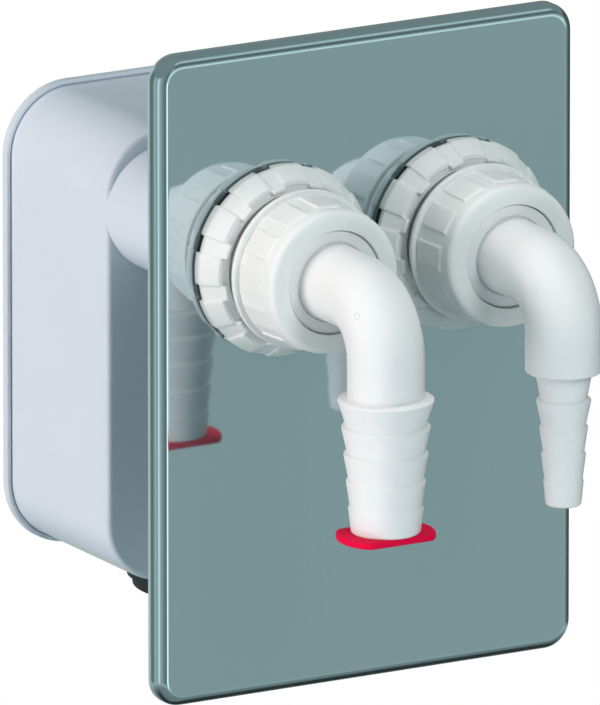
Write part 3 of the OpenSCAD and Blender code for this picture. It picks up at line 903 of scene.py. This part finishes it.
class TRAP_OT_studio(bpy.types.Operator):
    """Sets the camera, the floor, the surroundings and the lamps"""
    bl_idname = "trap.studio"
    bl_label = "Studio"

    SENSOR = 36  # mm
    # Brightness that gloss sees by degrees to the right of the trap's front
    WALLS = [(-180, 1.0), (-166, 0.9), (-156, 0.22), (-140, 0.24), (-125, 0.45), (-112, 0.72),
             (-92, 0.55), (-78, 0.6), (-73, 1.5), (-66, 1.3), (-60, 0.75), (-40, 0.5), (-15, 0.27),
             (-3, 0.22), (7, 0.3), (12, 1.4), (17, 2.7), (20, 1.7), (24, 0.52), (34, 0.51),
             (40, 0.6), (48, 0.56), (62, 0.32), (85, 0.1), (130, 0.08), (150, 0.3), (180, 0.9)]
    # The same by height, from straight down at -1 to straight up at 1
    HEIGHTS = [(-1, 0.02), (-0.85, 0.02), (-0.74, 0.1), (-0.53, 0.36), (-0.42, 0.62),
               (-0.33, 0.64), (0.26, 0.32), (0.9, 0.33), (1, 0.35)]
    # By height on the floor in front, which the plate's face shows from above
    FLOOR_HEIGHTS = [(-1, 0.26), (-0.5, 0.34), (-0.42, 0.62), (-0.33, 0.64), (0.26, 0.32),
                     (1, 0.35)]
    # By height on the front right, which the plate's top edge shows
    FRONT_HEIGHTS = [(-0.24, 0.6), (-0.16, 1.2), (-0.02, 1.2), (0.12, 0.5), (0.3, 0.19),
                     (0.52, 0.18), (0.62, 0.6), (0.7, 0.95), (0.76, 0.8), (0.84, 0.36), (1, 0.33)]
    # Shares, by height or by degrees, in which the other three take over from the walls
    LOW_AND_HIGH = [(-0.4, 1), (-0.31, 0), (0.22, 0), (0.34, 1)]
    ABOVE_FLOOR = [(-0.21, 0), (-0.15, 1)]
    FRONT_RIGHT = [(8, 0), (14, 1), (52, 1), (64, 0)]
    IN_FRONT = [(-90, 0), (-60, 1), (40, 1), (60, 0)]
    SURROUND_TINT = (0.594, 0.772, 0.762, 1)
    FILL_COLOUR = (0.235, 0.305, 0.298, 1)
    FLOOR_COLOUR = (0.36, 0.44, 0.45, 1)
    WHITE = (1, 1, 1, 1)
    # Name, place from the inlets' middle, direction or None for the middle itself, width and
    # height, setting of the power, colour. Top and Side face away from the housing behind the
    # plate, so that they leave it alone
    LAMPS = [
        ("Key lamp", (-1.75, 0.29, 0.3), None, (0.8, 0.8), "key_power", (1.0, 0.88, 0.87)),
        ("Front lamp", (0.15, -1.5, 0.95), None, (0.6, 0.6), "front_power", (0.98, 1.0, 1.03)),
        ("Back lamp", (0.9, 1.4, -0.1), None, (0.8, 0.8), "back_power", (1.0, 0.97, 0.95)),
        ("Top lamp", (0.03, -0.04, 0.45), (0.0, -0.975, -0.2), (0.3, 0.1), "top_power",
         (1.0, 0.97, 0.96)),
        ("Side lamp", (-0.4, -0.4, -0.22), (0.79, -0.61, 0.0), (0.25, 0.3), "side_power",
         (0.97, 0.97, 1.0)),
    ]

    def camera(self, size):
        """Sees the point midway between the inlets at its own place in the picture."""
        across = Vector((math.cos(size.azimuth), -math.sin(size.azimuth), 0))
        back = Vector((-math.sin(size.azimuth) * math.cos(size.elevation),
                       -math.cos(size.azimuth) * math.cos(size.elevation),
                       math.sin(size.elevation)))
        up = back.cross(across)
        per_pixel = MM / size.pixels_per_mm
        middle = Vector((0, PLATE_FACE_Y, INLET_Z))
        middle += across * (PHOTO_SIZE[0] / 2 - size.inlets_x) * per_pixel
        middle += up * (size.inlets_y - PHOTO_SIZE[1] / 2) * per_pixel
        data = bpy.data.cameras.new("Studio camera")
        data.sensor_width = data.sensor_height = self.SENSOR
        data.lens = self.SENSOR * size.distance / (PHOTO_SIZE[1] * per_pixel)
        data.clip_start, data.clip_end = 0.1, 200
        camera = bpy.data.objects.new("Studio camera", data)
        bpy.context.scene.collection.objects.link(camera)
        turn = Matrix((across, up, back)).transposed().to_4x4()
        camera.matrix_world = Matrix.Translation(middle + back * size.distance) @ turn
        bpy.context.scene.camera = camera

    @staticmethod
    def mixed(tree, share, first, second):
        mix = tree.nodes.new("ShaderNodeMixShader")
        for socket, value in zip(mix.inputs, (share, first, second)):
            tree.links.new(value, socket)
        return mix.outputs[0]

    @staticmethod
    def blended(tree, share, first, second):
        mix = tree.nodes.new("ShaderNodeMix")
        mix.data_type = "RGBA"
        for label, value in (("Factor", share), ("A", first), ("B", second)):
            tree.links.new(value, mix.inputs[label])
        return mix.outputs["Result"]

    @staticmethod
    def ramp(tree, value, stops):
        """A grey that follows value through (place, grey) stops."""
        low, high = stops[0][0], stops[-1][0]
        spread = tree.nodes.new("ShaderNodeMapRange")
        spread.inputs["From Min"].default_value = low
        spread.inputs["From Max"].default_value = high
        tree.links.new(value, spread.inputs["Value"])
        node = tree.nodes.new("ShaderNodeValToRGB")
        elements = node.color_ramp.elements
        while len(elements) < len(stops):
            elements.new(0.5)
        for element, (place, grey) in zip(elements, stops):
            element.position = (place - low) / (high - low)
            element.color = (grey, grey, grey, 1)
        tree.links.new(spread.outputs["Result"], node.inputs["Fac"])
        return node.outputs["Color"]

    def floor(self, size):
        level = CAD_BOX[0][2] - size.floor_drop
        reach = 12
        mesh = bmesh.new()
        mesh.faces.new([mesh.verts.new((x, y, level)) for x, y in (
            (-reach, -reach), (reach, -reach), (reach, reach), (-reach, reach))])
        floor = finished("studio_floor", mesh)
        material = bpy.data.materials.new("Studio floor")
        material.use_nodes = True
        tree = material.node_tree
        shader = tree.nodes["Principled BSDF"]
        shader.inputs["Base Color"].default_value = self.FLOOR_COLOUR
        shader.inputs["Roughness"].default_value = 0.9
        lit = shader.outputs[0]
        paper = tree.nodes.new("ShaderNodeEmission")
        paper.inputs["Color"].default_value = self.WHITE
        rays = tree.nodes.new("ShaderNodeLightPath")
        white = self.mixed(tree, rays.outputs["Is Camera Ray"], lit, paper.outputs[0])
        tree.links.new(white, tree.nodes["Material Output"].inputs["Surface"])
        floor.data.materials.append(material)
        floor.visible_glossy = False

    def lamp(self, name, place, target, width, height, power, colour):
        """A soft rectangle that gloss doesn't see."""
        data = bpy.data.lights.new(name, "AREA")
        data.shape = "RECTANGLE"
        data.size, data.size_y = width, height
        data.energy = power
        data.color = colour
        lamp = bpy.data.objects.new(name, data)
        lamp.visible_glossy = False
        bpy.context.scene.collection.objects.link(lamp)
        lamp.matrix_world = (Matrix.Translation(place)
                             @ (target - place).to_track_quat("-Z", "Y").to_matrix().to_4x4())

    def surroundings(self, tree):
        """The studio as gloss sees it: grey walls with bright strips and dark gaps between them."""
        way = tree.nodes.new("ShaderNodeTexCoord").outputs["Generated"]
        parts = tree.nodes.new("ShaderNodeSeparateXYZ")
        tree.links.new(way, parts.inputs[0])
        x, y, z = parts.outputs
        turn = math_node(tree, "MULTIPLY", math_node(
            tree, "ARCTAN2", x, math_node(tree, "MULTIPLY", y, -1.0)), 180 / math.pi)
        walls = self.ramp(tree, turn, self.WALLS)
        ends = self.ramp(tree, z, self.LOW_AND_HIGH)
        above = self.ramp(tree, z, self.ABOVE_FLOOR)
        ahead = self.ramp(tree, turn, self.FRONT_RIGHT)
        in_front = self.ramp(tree, turn, self.IN_FRONT)
        heights = self.blended(tree, in_front, self.ramp(tree, z, self.HEIGHTS),
                               self.ramp(tree, z, self.FLOOR_HEIGHTS))
        seen = self.blended(tree, ends, walls, heights)
        seen = self.blended(tree, math_node(tree, "MULTIPLY", above, ahead), seen,
                            self.ramp(tree, z, self.FRONT_HEIGHTS))
        tint = tree.nodes.new("ShaderNodeMix")
        tint.data_type = "RGBA"
        tint.blend_type = "MULTIPLY"
        tint.inputs["Factor"].default_value = 1.0
        tint.inputs["B"].default_value = self.SURROUND_TINT
        tree.links.new(seen, tint.inputs["A"])
        return tint.outputs["Result"]

    def world(self):
        world = bpy.data.worlds.new("Studio")
        bpy.context.scene.world = world
        world.use_nodes = True
        tree = world.node_tree
        fill = tree.nodes["Background"]
        fill.inputs["Color"].default_value = self.FILL_COLOUR
        paper = tree.nodes.new("ShaderNodeBackground")
        paper.inputs["Color"].default_value = self.WHITE
        around = tree.nodes.new("ShaderNodeBackground")
        tree.links.new(self.surroundings(tree), around.inputs["Color"])
        rays = tree.nodes.new("ShaderNodeLightPath")
        lit = self.mixed(tree, rays.outputs["Is Glossy Ray"], fill.outputs[0], around.outputs[0])
        seen = self.mixed(tree, rays.outputs["Is Camera Ray"], lit, paper.outputs[0])
        tree.links.new(seen, tree.nodes["World Output"].inputs["Surface"])

    def execute(self, context):
        size = context.scene.trap_studio
        self.camera(size)
        self.world()
        self.floor(size)
        middle = Vector((0, PLATE_FACE_Y, INLET_Z))
        for name, offset, facing, (width, height), power, colour in self.LAMPS:
            place = middle + Vector(offset)
            target = place + Vector(facing) if facing else middle
            self.lamp(name, place, target, width, height, getattr(size, power), colour)
        context.scene.view_settings.view_transform = "Standard"
        return {"FINISHED"}


class TRAP_PT_panel(bpy.types.Panel):
    """Lists the trap's pieces and the studio"""
    bl_idname = "TRAP_PT_panel"
    bl_label = "Concealed trap"
    bl_space_type = "VIEW_3D"
    bl_region_type = "UI"
    bl_category = "Trap"

    def draw(self, context):
        for operator in OPERATORS:
            self.layout.operator(operator.bl_idname)


SETTINGS = {
    "trap_plate": PlateSettings, "trap_nuts": NutSettings, "trap_elbows": ElbowSettings,
    "trap_finish": FinishSettings, "trap_studio": StudioSettings,
}
OPERATORS = (
    TRAP_OT_plate, TRAP_OT_ring_nuts, TRAP_OT_union_nuts, TRAP_OT_elbows, TRAP_OT_plug,
    TRAP_OT_cover_rim, TRAP_OT_carried_solids, TRAP_OT_studio,
)


def register():
    for cls in (*SETTINGS.values(), *OPERATORS, TRAP_PT_panel):
        bpy.utils.register_class(cls)
    for name, cls in SETTINGS.items():
        setattr(bpy.types.Scene, name, PointerProperty(type=cls))


def unregister():
    for name in SETTINGS:
        delattr(bpy.types.Scene, name)
    for cls in (TRAP_PT_panel, *reversed(OPERATORS), *reversed(list(SETTINGS.values()))):
        bpy.utils.unregister_class(cls)


def main():
    register()
    bpy.ops.trap.plate()
    bpy.ops.trap.ring_nuts()
    bpy.ops.trap.union_nuts()
    bpy.ops.trap.elbows()
    bpy.ops.trap.plug()
    bpy.ops.trap.cover_rim()
    bpy.ops.trap.carried_solids()
    bpy.ops.trap.studio()


if __name__ == "__main__":
    main()
